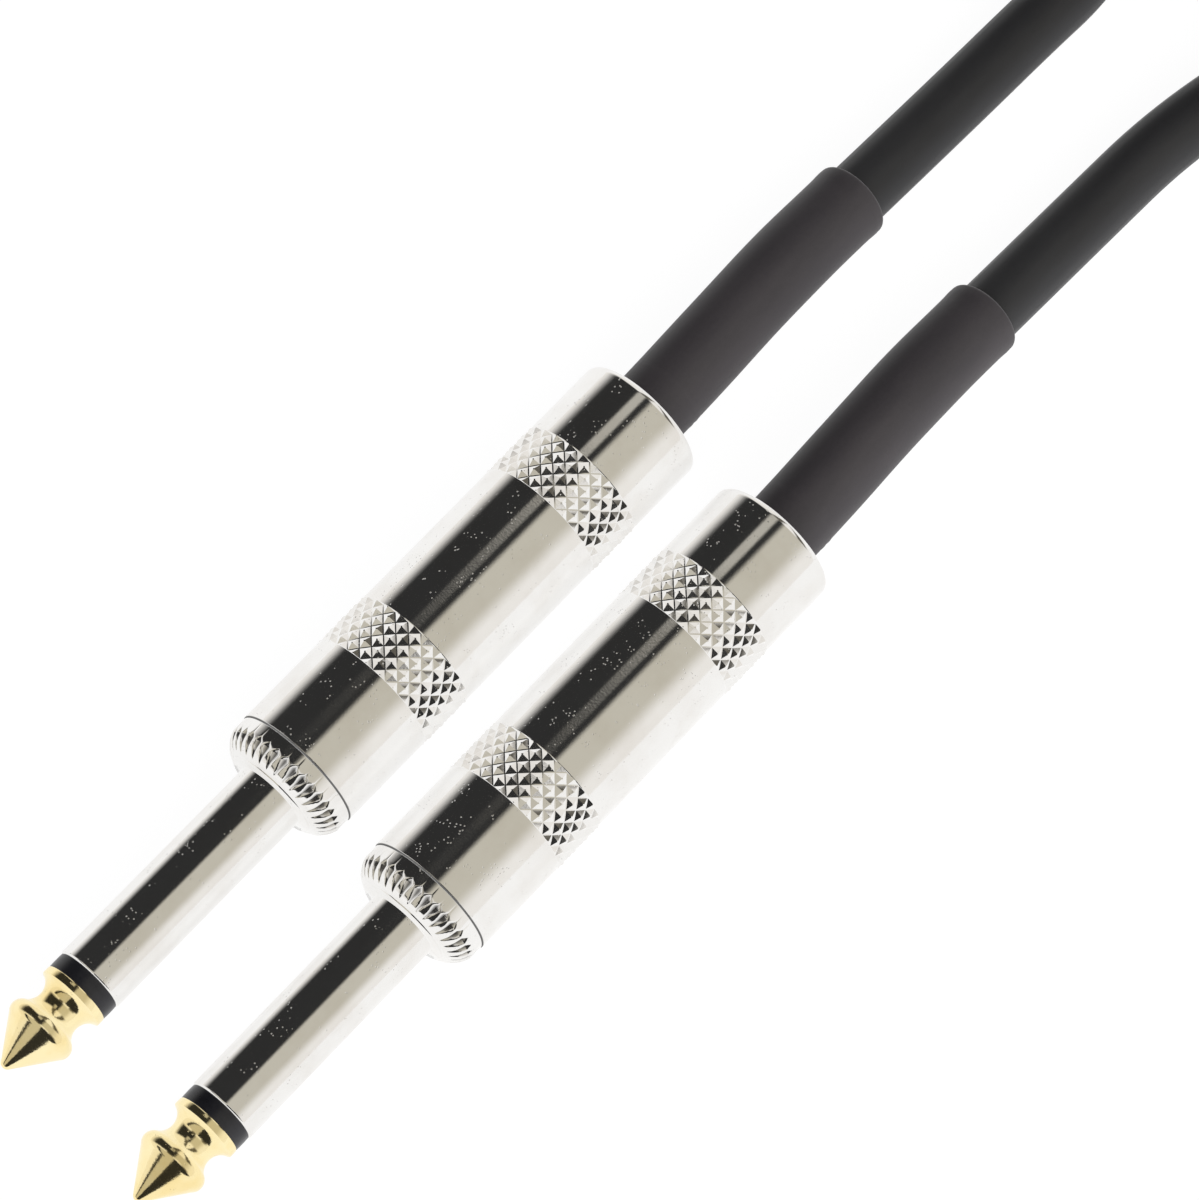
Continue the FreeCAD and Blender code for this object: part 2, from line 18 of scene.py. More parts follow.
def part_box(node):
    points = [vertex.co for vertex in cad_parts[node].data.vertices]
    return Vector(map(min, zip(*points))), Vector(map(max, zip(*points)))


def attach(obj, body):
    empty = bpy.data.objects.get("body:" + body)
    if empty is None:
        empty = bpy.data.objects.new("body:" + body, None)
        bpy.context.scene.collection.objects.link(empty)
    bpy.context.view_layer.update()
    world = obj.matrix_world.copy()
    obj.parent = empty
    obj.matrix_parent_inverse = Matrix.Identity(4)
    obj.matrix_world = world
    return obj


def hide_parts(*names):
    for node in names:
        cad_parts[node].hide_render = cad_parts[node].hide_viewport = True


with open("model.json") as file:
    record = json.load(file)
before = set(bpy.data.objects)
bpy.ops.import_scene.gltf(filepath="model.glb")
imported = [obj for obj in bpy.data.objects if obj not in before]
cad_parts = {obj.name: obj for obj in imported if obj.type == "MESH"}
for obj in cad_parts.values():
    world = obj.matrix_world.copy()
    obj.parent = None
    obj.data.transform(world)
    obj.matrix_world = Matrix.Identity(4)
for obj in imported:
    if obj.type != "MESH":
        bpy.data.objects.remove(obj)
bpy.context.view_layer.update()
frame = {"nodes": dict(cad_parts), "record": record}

# %% [markdown]
# ## Where the plugs lie
# Each plug is easiest to draw about its own axis, in millimetres, with X = 0 half a millimetre
# ahead of its tip. A plug's own frame is placed by measuring the model: its tip gives X, and
# its shaft gives the axis.

# %% The plugs' places
MM = 0.001
TIP_START = 0.5


def plug_place(letter):
    """The origin of a plug's own frame: on its axis, just ahead of its tip."""
    low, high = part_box("shaft_sleeve_" + letter)
    return Vector((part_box("tip_" + letter)[0].x - TIP_START * MM,
                   (low.y + high.y) / 2, (low.z + high.z) / 2))


places = {letter: plug_place(letter) for letter in "ab"}
for letter, place in places.items():
    print("plug", letter, "starts at", [round(value / MM, 2) for value in place], "mm")

# %% [markdown]
# ## The camera
# The plugs are seen from above and a little from their tips, from far away through a long
# lens, so that parallel edges stay nearly parallel. The lens follows from the distance and the
# width that the picture should span.

# %% Camera
look_at = Vector((10.86, -0.66, 6.1)) * MM
view_direction = Vector((0.2766, 0.2499, -0.9279))
camera_distance = 500 * MM
picture_width = 99.3 * MM

camera_data = bpy.data.cameras.new("camera")
camera_data.lens = camera_data.sensor_width * camera_distance / picture_width
camera = bpy.data.objects.new("camera", camera_data)
camera.location = look_at - view_direction.normalized() * camera_distance
camera.rotation_euler = view_direction.to_track_quat("-Z", "Y").to_euler()
bpy.context.scene.collection.objects.link(camera)
bpy.context.scene.camera = camera
print("lens %.0f mm" % camera_data.lens)

# %% [markdown]
# ## The cable's line
# The cable is one piece, three metres long. It leaves one strain relief, comes down to the
# table, and the length that isn't needed is folded into a flat hank of ten turns in two
# columns, the way such a cable is put away, before it comes back to the other plug. A smooth
# spline through a few points bends like a real cable. Its turns are regular, so a
# loop places them: three or five points on each straight run, and four round each fold.

# %% Points of the hank's turns
cable_radius = 2.9 * MM
lying = cable_radius                  # height of a cable that rests on the table
turn_pitch = 5.9 * MM                 # from one turn to the next
fold_near_x = 124.0 * MM              # where the hank's near folds begin
fold_far_x = 204.0 * MM
inner_turn, outer_turn = 18.0 * MM, 23.9 * MM
strap_x, strap_width = 164.0 * MM, 16.0 * MM
strap_lift = 1.0 * MM                 # the turns ride over the strap
FOLD_ANGLES = (22.5, 67.5, 112.5, 157.5)
corner_reach = 1 / math.cos(math.radians(22.5))

# The cable climbs the inner column, crosses over, and comes down the outer one.
turns = [(outer_turn, 0)]
turns += [(inner_turn, layer) for layer in range(5)]
turns += [(outer_turn, layer) for layer in (4, 3, 2, 1)]
print(len(turns), "turns in the hank")


def eased(share):
    """0 to 1 with a soft start and a soft end."""
    share = min(max(share, 0.0), 1.0)
    return share * share * (3 - 2 * share)


def fold_point(centre_x, side, angle, radius, height):
    """A point round a fold, from the run at y = side * radius. The angle is in degrees."""
    turn = math.radians(angle)
    away = radius * corner_reach * side
    return Vector((centre_x + away * math.sin(turn), away * math.cos(turn), height))


def turn_points(radius, layer, following):
    """One turn: out along +Y, round the far fold, back along -Y and round the near fold."""
    height = lying + layer * turn_pitch
    end = radius * math.tan(math.radians(FOLD_ANGLES[0]))
    points = [Vector((x, radius, height)) for x in (fold_near_x + end, strap_x, fold_far_x - end)]
    points += [fold_point(fold_far_x, 1, angle, radius, height) for angle in FOLD_ANGLES]
    over = height + strap_lift
    points += [Vector((fold_far_x - end, -radius, height)),
               Vector((strap_x + 14 * MM, -radius, over)), Vector((strap_x, -radius, over)),
               Vector((strap_x - 14 * MM, -radius, over)), Vector((fold_near_x + end, -radius, height))]
    if following:
        next_radius, next_layer = following
        for angle in FOLD_ANGLES:
            rise = (next_layer - layer) * turn_pitch * eased(angle / 90)
            wide = radius + (next_radius - radius) * eased((angle - 90) / 90)
            points.append(fold_point(fold_near_x, -1, angle, wide, height + rise))
    return points


# %% The cable
mouth_a, landing_a = Vector((0.053227, 0.008430, 0.004644)), Vector((0.067200, 0.008500, lying))
mouth_b, landing_b = Vector((0.052377, -0.007070, 0.004644)), Vector((0.066350, -0.007000, lying))
lead_a = [(0.0770, 0.0083, lying), (0.0830, 0.0080, lying), (0.0900, 0.0092, lying),
          (0.0980, 0.0132, lying), (0.1065, 0.0189, lying), (0.1150, 0.0226, lying),
          (0.1240, 0.0239, lying)]
lead_b = [(0.0761, -0.0073, lying), (0.0860, -0.0096, lying + 0.0011),
          (0.0965, -0.0150, lying + 0.0037), (0.1060, -0.0206, lying + 0.0056),
          (0.1150, -0.0233, lying + 0.0059), (0.1240, -0.0239, lying + 0.0059)]

cable_line = [mouth_a, landing_a] + [Vector(point) for point in lead_a]
for turn, following in zip(turns, turns[1:] + [None]):
    cable_line += turn_points(*turn, following)
cable_line += [Vector(point) for point in reversed(lead_b)] + [landing_b, mouth_b]

cable_curve = bpy.data.curves.new("cable", "CURVE")
cable_curve.dimensions = "3D"
spline = cable_curve.splines.new("NURBS")
spline.points.add(len(cable_line) - 1)
for control, point in zip(spline.points, cable_line):
    control.co = (*point, 1.0)
    control.radius = cable_radius     # the bevel is one metre times this
spline.order_u = 3
spline.use_endpoint_u = True
cable_curve.resolution_u = 8
cable_curve.bevel_depth = 1.0
cable_curve.bevel_resolution = 6
cable_curve.use_fill_caps = True
cable = bpy.data.objects.new("cable", cable_curve)
bpy.context.scene.collection.objects.link(cable)
cable.visible_glossy = False
print(len(cable_line), "points on the cable's line")

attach(cable, "cable")
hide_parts("lead_a", "lead_b", "hank")

# %% [markdown]
# ## Finishes: shader maths in plain Python
# A finish is a small graph of nodes. Written socket by socket it is hard to read, so one class
# wraps a socket and lets it be added and multiplied like a number, and one method adds any
# other node. The same two serve the Geometry Nodes later on.

# %% Nodes as expressions
class Socket:
    """The output of a node. Arithmetic on it adds Math nodes to its tree."""

    def __init__(self, nodes, socket):
        self.nodes, self.socket = nodes, socket

    def maths(self, operation, *others):
        return self.nodes.add("ShaderNodeMath", {"operation": operation}, (self, *others))

    def __add__(self, other):
        return self.maths("ADD", other)

    def __sub__(self, other):
        return self.maths("SUBTRACT", other)

    def __rsub__(self, other):
        return self.nodes.add("ShaderNodeMath", {"operation": "SUBTRACT"}, (other, self))

    def __mul__(self, other):
        return self.maths("MULTIPLY", other)

    def __truediv__(self, other):
        return self.maths("DIVIDE", other)

    def __mod__(self, other):
        return self.maths("FLOORED_MODULO", other)

    __radd__ = __add__
    __rmul__ = __mul__

    def clipped(self, low, high):
        return self.maths("MAXIMUM", low).maths("MINIMUM", high)

    def step(self, start, end):
        """0 below start, 1 above end, and soft between them."""
        settings = {"interpolation_type": "SMOOTHSTEP"}
        return self.nodes.add("ShaderNodeMapRange", settings, (self, start, end))


class Nodes:
    """A node tree that is filled through one method."""

    def __init__(self, tree):
        self.tree = tree

    def add(self, kind, settings=None, sockets=(), output=0):
        """A node of a type, with its settings made first and then its sockets' values or links."""
        node = self.tree.nodes.new(kind)
        for name, value in (settings or {}).items():
            setattr(node, name, value)
        for key, value in sockets.items() if isinstance(sockets, dict) else enumerate(sockets):
            if isinstance(value, Socket):
                self.tree.links.new(value.socket, node.inputs[key])
            else:
                node.inputs[key].default_value = value
        if not node.outputs:
            return None
        return Socket(self, node.outputs[output])

    def axes(self, vector):
        """The three numbers of a vector."""
        apart = self.add("ShaderNodeSeparateXYZ", {}, [vector]).socket.node
        return [Socket(self, apart.outputs[axis]) for axis in "XYZ"]

    def blend(self, factor, one, other):
        """A colour between two colours."""
        return self.add("ShaderNodeMix", {"data_type": "RGBA"}, {0: factor, 6: one, 7: other}, 2)

    def stretched(self, place, scale):
        """A place multiplied by a scale for each axis, which stretches the pattern on it."""
        return self.add("ShaderNodeVectorMath", {"operation": "MULTIPLY"}, [place, scale])

    def noise(self, place, scale, detail=2.0, roughness=0.5):
        sockets = {"Vector": place, "Scale": scale, "Detail": detail, "Roughness": roughness}
        return self.add("ShaderNodeTexNoise", {}, sockets)

    def bump(self, height, distance, strength=1.0, normal=None):
        """A normal that is disturbed by a height between 0 and 1, worth distance in metres."""
        sockets = {"Strength": strength, "Distance": distance, "Height": height}
        if normal:
            sockets["Normal"] = normal
        return self.add("ShaderNodeBump", {}, sockets)


class Finish(Nodes):
    """A material in the making."""

    def __init__(self, name):
        self.material = bpy.data.materials.new(name)
        self.material.use_nodes = True
        super().__init__(self.material.node_tree)
        self.tree.nodes.clear()
        self.place = self.add("ShaderNodeTexCoord", output="Object")

    def colour(self, rgb):
        return (*rgb, 1.0)

    def done(self, sockets):
        """Closes the finish with one Principled shader and returns the material."""
        shader = self.add("ShaderNodeBsdfPrincipled", {}, sockets)
        self.add("ShaderNodeOutputMaterial", {}, {"Surface": shader})
        print("finish", self.material.name, "has", len(self.tree.nodes), "nodes")
        return self.material


# %% [markdown]
# ## Plated metal
# Nickel and gold plate are thin, bright and follow whatever the lathe left: hair lines that
# run round the piece, a slightly uneven polish, and a few pits that sparkle. The hair lines
# are a noise that is stretched until it changes along X alone. All of it stays very shallow,
# because a mirror finish shows every disturbance.

# %% Nickel and gold plate
def plate(name, bright, dull, polish, hairline_depth, pit_share, peel_depth):
    """A plated metal. polish is its least roughness. Painted shade turns its base colour nearly black
    where the mesh's shade attribute is set.
    """
    finish = Finish(name)
    lines = finish.noise(finish.stretched(finish.place, (9000.0, 60.0, 60.0)), 1.0, 3.0, 0.7)
    clouds = finish.noise(finish.place, 260.0, 3.0, 0.6)
    cells = finish.add("ShaderNodeTexVoronoi", {"feature": "F1"},
                       {"Vector": finish.place, "Scale": 3200.0}, "Distance")
    chosen = finish.noise(finish.place, 700.0, 1.0).step(0.66 - pit_share, 0.70 - pit_share)
    pits = (1 - cells.step(0.10, 0.22)) * chosen
    peel = finish.noise(finish.place, 5200.0, 2.0)
    # Painted shade: this point attribute is set in seams and notch bottoms. It darkens the base colour
    # nearly to black there and raises the roughness.
    painted_shade = finish.add("ShaderNodeAttribute", {"attribute_name": "painted_shade"}, output="Fac")
    roughness = polish + 0.05 * clouds + 0.03 * lines + 0.12 * pits + 0.3 * painted_shade
    normal = finish.bump(lines, hairline_depth)
    normal = finish.bump(peel, peel_depth, 1.0, normal)
    normal = finish.bump(1 - pits, 0.000020, 1.0, normal)
    metal = finish.blend(clouds.step(0.35, 0.75), finish.colour(bright), finish.colour(dull))
    return finish.done({
        # Painted shade: the nearly black colour below stands in for the shade in seams and notch bottoms.
        "Base Color": finish.blend(painted_shade, metal, finish.colour((0.020, 0.018, 0.016))),
        "Metallic": 1.0, "Roughness": roughness, "Normal": normal,
    })


nickel = plate("nickel", (0.86, 0.85, 0.83), (0.81, 0.79, 0.76), 0.055, 0.0000006, 0.10,
               0.0000016)
gilt = plate("gilt", (0.97, 0.84, 0.50), (0.92, 0.74, 0.36), 0.07, 0.0000020, 0.03,
             0.0000050)

# %% [markdown]
# ## Plastics and rubber
# The ring between tip and shaft is smooth turned plastic. The sleeve on each cable is
# heat-shrunk polyolefin, a warm charcoal with a soft uneven sheen, and the cable's own jacket
# is a little blacker and finer. Both are matt because their skin is rough at a scale that
# can't be seen one bump at a time, so a fine noise drives a shallow bump and the roughness.

# %% Ring, sleeve and jacket
def matt_skin(name, dark, light, roughness, grain, depth, drawn):
    """A matt plastic or rubber skin. drawn is how far its streaks are pulled along X."""
    finish = Finish(name)
    streaks = finish.noise(finish.stretched(finish.place, (drawn, 1.0, 1.0)), 420.0, 3.0, 0.6)
    fine = finish.noise(finish.place, grain, 2.0, 0.6)
    clouds = finish.noise(finish.place, 90.0, 2.0)
    tone = (0.5 * streaks + 0.2 * fine + 0.3 * clouds).step(0.3, 0.7)
    return finish.done({
        "Base Color": finish.blend(tone, finish.colour(dark), finish.colour(light)),
        "Roughness": roughness + 0.12 * fine + 0.10 * clouds - 0.11,
        "Normal": finish.bump(0.6 * fine + 0.4 * streaks, depth),
        "Specular IOR Level": 0.4,
    })


ring_plastic = matt_skin("black_plastic", (0.008, 0.008, 0.011), (0.014, 0.014, 0.017),
                         0.30, 2500.0, 0.000002, 4.0)
heat_shrink = matt_skin("heat_shrink", (0.034, 0.030, 0.034), (0.046, 0.040, 0.044),
                        0.50, 3200.0, 0.000012, 0.25)
jacket = matt_skin("cable_jacket", (0.015, 0.015, 0.017), (0.021, 0.021, 0.023),
                   0.48, 5200.0, 0.000006, 0.3)

# %% [markdown]
# ## Inside the plugs
# The barrels unscrew, so what they cover has finishes too: tinned terminals, bare copper
# strands, soft bright solder, off-white insulation, red-brown fibre and a thin liner. They are
# small, and two short recipes are enough for them.

# %% Finishes inside the plugs
def soft_metal(name, dark, light, roughness, grain):
    """A plain metal with an uneven skin."""
    finish = Finish(name)
    mottle = finish.noise(finish.place, grain, 3.0, 0.6)
    return finish.done({
        "Base Color": finish.blend(mottle.step(0.3, 0.7), finish.colour(dark), finish.colour(light)),
        "Metallic": 1.0, "Roughness": roughness + 0.2 * mottle,
        "Normal": finish.bump(mottle, 0.00002),
    })


inner_finishes = {
    "tinned": soft_metal("tinned", (0.55, 0.54, 0.51), (0.68, 0.67, 0.64), 0.22, 900.0),
    "copper": soft_metal("copper", (0.60, 0.28, 0.15), (0.80, 0.44, 0.28), 0.25, 2600.0),
    "solder": soft_metal("solder", (0.48, 0.48, 0.50), (0.62, 0.62, 0.63), 0.20, 1500.0),
    "white_plastic": matt_skin("white_plastic", (0.72, 0.70, 0.64), (0.84, 0.83, 0.79),
                               0.40, 1500.0, 0.000004, 0.3),
    "fibre": matt_skin("fibre", (0.26, 0.08, 0.04), (0.40, 0.15, 0.08), 0.70, 1800.0, 0.00001, 1.0),
    "liner_film": matt_skin("liner_film", (0.70, 0.68, 0.60), (0.82, 0.80, 0.73),
                            0.30, 900.0, 0.000003, 0.2),
}
finishes = {"nickel": nickel, "gilt": gilt, "black_plastic": ring_plastic,
            "heat_shrink": heat_shrink, "cable_jacket": jacket, **inner_finishes}

# %% [markdown]
# ## A small lathe
# Nearly everything on a plug is turned, so a small lathe makes the meshes: it follows an
# outline of (x, radius) places and adds one ring of points for each. An outline that goes all
# the way round gives a closed skin with nothing left open. The same lathe can cut a thread: its
# points climb along the helix, so that the ridge has clean edges, and the ridge fades out
# before each end.

# %% The lathe
SIDES = 144


def arc_places(start, middle, end, steps):
    """Places along the arc from start through middle to end, without its start."""
    (ax, ay), (bx, by), (cx, cy) = start, middle, end
    twice = 2 * (ax * (by - cy) + bx * (cy - ay) + cx * (ay - by))
    a2, b2, c2 = ax * ax + ay * ay, bx * bx + by * by, cx * cx + cy * cy
    ox = (a2 * (by - cy) + b2 * (cy - ay) + c2 * (ay - by)) / twice
    oy = (a2 * (cx - bx) + b2 * (ax - cx) + c2 * (bx - ax)) / twice
    radius = math.hypot(ax - ox, ay - oy)
    first, mid, last = (math.atan2(y - oy, x - ox) for x, y in (start, middle, end))
    sweep = (last - first) % (2 * math.pi)
    if (mid - first) % (2 * math.pi) > sweep:
        sweep -= 2 * math.pi
    turns_at = [first + sweep * (k + 1) / steps for k in range(steps)]
    return [(ox + radius * math.cos(turn), oy + radius * math.sin(turn)) for turn in turns_at]


def outline_places(outline, arc_steps=16):
    """An outline's places. An entry of four numbers is an arc through its first two."""
    places_on = []
    for entry in outline:
        if len(entry) == 4:
            places_on += arc_places(places_on[-1], entry[:2], entry[2:], arc_steps)
        else:
            places_on.append(entry)
    return places_on


class Lathe:
    """Turns one closed piece about the X axis, in a plug's own frame and in millimetres."""

    def __init__(self, sides=SIDES):
        self.mesh = bmesh.new()
        self.sides = sides
        self.first = self.last = None

    def point(self, x, radius, share):
        turn = 2 * math.pi * share
        place = (x * MM, radius * MM * math.cos(turn), radius * MM * math.sin(turn))
        return self.mesh.verts.new(place)

    def face(self, corners):
        corners = list(dict.fromkeys(corners))
        if len(corners) > 2:
            self.mesh.faces.new(corners)

    def join(self, one, other):
        for k in range(self.sides):
            here, following = k, (k + 1) % self.sides
            self.face([one[here % len(one)], one[following % len(one)],
                       other[following % len(other)], other[here % len(other)]])

    def take(self, ring):
        if self.last:
            self.join(self.last, ring)
        self.first = self.first or ring
        self.last = ring

    def follow(self, outline, arc_steps=16):
        """Adds a ring at each place of an outline. A place on the axis is a single point."""
        for x, radius in outline_places(outline, arc_steps):
            count = self.sides if radius > 1e-6 else 1
            self.take([self.point(x, radius, k / self.sides) for k in range(count)])
        return self

    def thread(self, end, plain_radius, depth, from_x, fade, open_mouth=0):
        """A helical ridge, or in a bore a groove, from the last ring to end. It fades in and
        out over the two lengths in fade. A bore's open mouth is as wide as its groove."""
        start = self.last[0].co.x / MM
        start_ring = self.last
        end_ring = [self.point(end, plain_radius, k / self.sides) for k in range(self.sides)]
        rows_per_turn = len(THREAD_SHAPE)
        first_turn = math.floor((start - from_x) / THREAD_PITCH) - 2
        row_count = rows_per_turn * (math.ceil((end - start) / THREAD_PITCH) + 5)
        grid = []
        for row in range(row_count):
            whole, part = divmod(row, rows_per_turn)
            share, height = THREAD_SHAPE[part]
            line = []
            for k in range(self.sides):
                x = from_x + THREAD_PITCH * (first_turn + whole + share + k / self.sides)
                if x <= start + 1e-6:
                    line.append(start_ring[k])
                elif x >= end - 1e-6:
                    line.append(end_ring[k])
                else:
                    begun = min(max((x - start - fade[0]) / THREAD_FADE, 0), 1)
                    left = min(max((end - fade[1] - x) / THREAD_FADE, 0), 1)
                    raised = depth * (height * begun * left + open_mouth * (1 - begun))
                    line.append(self.point(x, plain_radius + raised, k / self.sides))
            grid.append(line)
        for row in range(row_count - 1):
            for k in range(self.sides):
                over = (k + 1) // self.sides * rows_per_turn
                if row + 1 + over < row_count:
                    following = (k + 1) % self.sides
                    self.face([grid[row][k], grid[row + 1][k],
                               grid[row + 1 + over][following], grid[row + over][following]])
        self.last = end_ring
        return self

    def finished(self, name, closed=True):
        """The mesh, closed from its last ring to its first, with its faces outwards."""
        if closed and not (len(self.first) == 1 and len(self.last) == 1):
            self.join(self.last, self.first)
        bmesh.ops.recalc_face_normals(self.mesh, faces=self.mesh.faces)
        mesh = bpy.data.meshes.new(name)
        self.mesh.to_mesh(mesh)
        self.mesh.free()
        print(name, "has", len(mesh.polygons), "faces")
        return mesh


THREAD_PITCH = 1.0
THREAD_FADE = 0.5
THREAD_SHAPE = [(0.0, 0.0), (0.115, 0.0), (0.15, 0.08), (0.35, 0.92), (0.385, 1.0), (0.5, 1.0),
                (0.615, 1.0), (0.65, 0.92), (0.85, 0.08), (0.885, 0.0)]

# %% [markdown]
# ## Putting a piece in its place
# Each mesh is made once, in the plug's own frame, and copied to both plugs. A copy's place goes
# into its points, so its object stays at the origin as the model's own nodes do.

# %% Placing a piece
def smooth(mesh, sharp_angle=32.0):
    """Smooth shading, with a sharp edge wherever two faces meet at more than an angle."""
    mesh.shade_smooth()
    mesh.set_sharp_from_angle(angle=math.radians(sharp_angle))
    return mesh


def mark_painted_shade(mesh, share_at):
    """Stores a share of painted shade for each point, 0 to 1, from its x and its radius in mm; the plated
    finish darkens its base colour by it.
    """
    layer = mesh.attributes.new("painted_shade", "FLOAT", "POINT")
    for vertex, entry in zip(mesh.vertices, layer.data):
        entry.value = share_at(vertex.co.x / MM, math.hypot(vertex.co.y, vertex.co.z) / MM)
    return mesh


def joined(name, meshes):
    """Several meshes as one."""
    whole = bmesh.new()
    for mesh in meshes:
        whole.from_mesh(mesh)
    result = bpy.data.meshes.new(name)
    whole.to_mesh(result)
    whole.free()
    return result


def add_piece(name, mesh, material, body, nodes, place=None):
    """One piece of the object: placed, finished, riding on its body and standing for nodes."""
    mesh = mesh.copy()
    if place:
        mesh.transform(Matrix.Translation(place))
    mesh.materials.clear()
    mesh.materials.append(material)
    made = bpy.data.objects.new(name, mesh)
    bpy.context.scene.collection.objects.link(made)
    made.visible_glossy = False
    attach(made, body)
    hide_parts(*nodes)
    return made


def add_to_plugs(name, mesh, material, node, body="cable"):
    """The same piece on both plugs."""
    for letter, place in places.items():
        its_body = body if body == "cable" else body + "_" + letter
        add_piece(name + "_" + letter, mesh, material, its_body, [node + "_" + letter], place)


# %% [markdown]
# ## Tip, ring and shaft
# The tip is a turned point: a small nose, a straight cone, a rounded shoulder, a waist that the
# socket's spring drops into, and a flange. The nose, shoulder and waist are arcs that meet the
# cone without a kink. A black ring parts it from the plain nickel shaft, whose front edge is
# slightly rounded.

# %% Tip
CONE = math.radians(35.0)
NOSE_RADIUS, SHOULDER_RADIUS, SHOULDER_ROUND = 0.55, 3.15, 1.1
SHOULDER_X, FALL = TIP_START + 4.3, math.radians(48.0)
TIP_END, RING_END, SHAFT_RADIUS = 9.0, 10.5, 3.175
NECK = (6.8, 2.05)
COLLAR_FRONT, SEAM, BARREL_FRONT = 31.8, 34.9, 35.0

nose_top = (TIP_START + NOSE_RADIUS * (1 - math.sin(CONE)), NOSE_RADIUS * math.cos(CONE))
nose_middle = (TIP_START + NOSE_RADIUS * (1 - math.cos(CONE / 2 - math.pi / 4)),
               NOSE_RADIUS * math.sin(math.pi / 4 - CONE / 2))
shoulder_base = SHOULDER_RADIUS - SHOULDER_ROUND
shoulder_start = (SHOULDER_X - SHOULDER_ROUND * math.sin(CONE),
                  min(nose_top[1] + (SHOULDER_X - SHOULDER_ROUND * math.sin(CONE) - nose_top[0])
                      * math.tan(CONE), shoulder_base + SHOULDER_ROUND * math.cos(CONE)))
shoulder_end = (SHOULDER_X + SHOULDER_ROUND * math.sin(FALL),
                shoulder_base + SHOULDER_ROUND * math.cos(FALL))

tip = Lathe().follow([
    (TIP_START, 0), nose_middle + nose_top, shoulder_start,
    (SHOULDER_X, SHOULDER_RADIUS) + shoulder_end, NECK + (8.31, 3.03), (8.34, 3.07), (8.42, 3.09),
    (8.9, 3.09), (TIP_END, 3.05), (TIP_END, 1.2), (9.3, 0),
], arc_steps=24).finished("tip")
add_to_plugs("tip", smooth(tip), gilt, "tip")

# %% Ring and shaft
ring = Lathe().follow([
    (TIP_END, 1.25), (TIP_END, 2.98), (TIP_END + 0.06, 3.04), (9.75, 3.06, RING_END - 0.06, 3.04),
    (RING_END, 2.98), (RING_END, 2.2), (13.0, 2.2), (13.0, 1.25),
]).finished("ring")
add_to_plugs("tip_ring", smooth(ring), ring_plastic, "tip_insulator")

shaft = Lathe().follow([
    (RING_END, 2.25), (RING_END, 3.02), (RING_END + 0.05, 3.12, RING_END + 0.16, SHAFT_RADIUS),
    (COLLAR_FRONT + 0.05, SHAFT_RADIUS), (COLLAR_FRONT + 0.05, 2.9), (38.2, 2.9), (38.2, 2.25),
], arc_steps=6).finished("shaft")
add_to_plugs("shaft", smooth(shaft), nickel, "shaft_sleeve")

# %% [markdown]
# ## The collar: one tooth, thirty-six times
# The collar's rim is broached all round with small notches that widen towards the plain band,
# so that it can be held while the barrel is turned. A tree of Geometry Nodes repeats one
# sector of the rim about the axis and welds the copies. The sector is drawn as a grid: its rows
# follow the rim's outline, and its two edges dip into half a notch each.

# %% One sector of the rim
TOOTH_COUNT = 36
NOTCH_FRONT, NOTCH_BACK, NOTCH_END = 32.12, 33.45, 33.92
RIM_OUTLINE = [
    (COLLAR_FRONT, 2.95), (COLLAR_FRONT, 3.70), (31.86, 3.78), (31.86, 4.16), (31.90, 4.24),
    (31.98, 4.28), (32.0, 4.46), (32.05, 4.56), (32.74, 5.44, 33.80, 5.92), (33.92, 5.92),
    (34.86, 5.92), (SEAM, 5.88), (SEAM, 4.3), (34.6, 4.1), (34.6, 2.95),
]


def notch_depth(x, across):
    """How far the rim is cut in, in millimetres, at a distance across from a notch's middle."""
    middle = 0.10 + 0.26 * eased((x - NOTCH_FRONT) / (NOTCH_BACK - NOTCH_FRONT))
    middle *= eased((x - NOTCH_FRONT) / 0.18)
    middle *= 1 - min(max((x - NOTCH_BACK) / (NOTCH_END - NOTCH_BACK), 0), 1)
    return max(middle - across / 1.05, 0)


def rim_sector(columns=16):
    """The sector's mesh, from the middle of one notch to the middle of the next."""
    places_on = outline_places(RIM_OUTLINE, arc_steps=30)
    sector = bmesh.new()
    grid = []
    for number, (x, radius) in enumerate(places_on):
        before, after = places_on[number - 1], places_on[(number + 1) % len(places_on)]
        along = Vector((after[0] - before[0], after[1] - before[1])).normalized()
        out = Vector((-along.y, along.x))
        on_crown = NOTCH_FRONT < x < NOTCH_END and radius > 4.5
        line = []
        for column in range(columns + 1):
            share = 0.5 * math.sin(math.pi * (column / columns - 0.5))
            across = (0.5 - abs(share)) * 2 * math.pi * radius / TOOTH_COUNT
            depth = notch_depth(x, across) if on_crown else 0.0
            px, pr = x - out.x * depth, radius - out.y * depth
            turn = 2 * math.pi * share / TOOTH_COUNT
            line.append(sector.verts.new((px * MM, pr * MM * math.cos(turn), pr * MM * math.sin(turn))))
        grid.append(line)
    for line, following in zip(grid, grid[1:] + grid[:1]):
        for k in range(columns):
            sector.faces.new([line[k], following[k], following[k + 1], line[k + 1]])
    mesh = bpy.data.meshes.new("rim sector")
    sector.to_mesh(mesh)
    sector.free()
    print("one sector has", len(mesh.polygons), "faces")
    return mesh


# %% A tree that repeats a piece about the X axis
def new_tree(name, inputs):
    """An empty tree of Geometry Nodes with named inputs, each (name, socket type)."""
    tree = bpy.data.node_groups.new(name, "GeometryNodeTree")
    for label, kind in inputs:
        tree.interface.new_socket(label, in_out="INPUT", socket_type=kind)
    tree.interface.new_socket("Geometry", in_out="OUTPUT", socket_type="NodeSocketGeometry")
    nodes = Nodes(tree)
    group = tree.nodes.new("NodeGroupInput")
    return nodes, {label: Socket(nodes, group.outputs[label]) for label, _ in inputs}


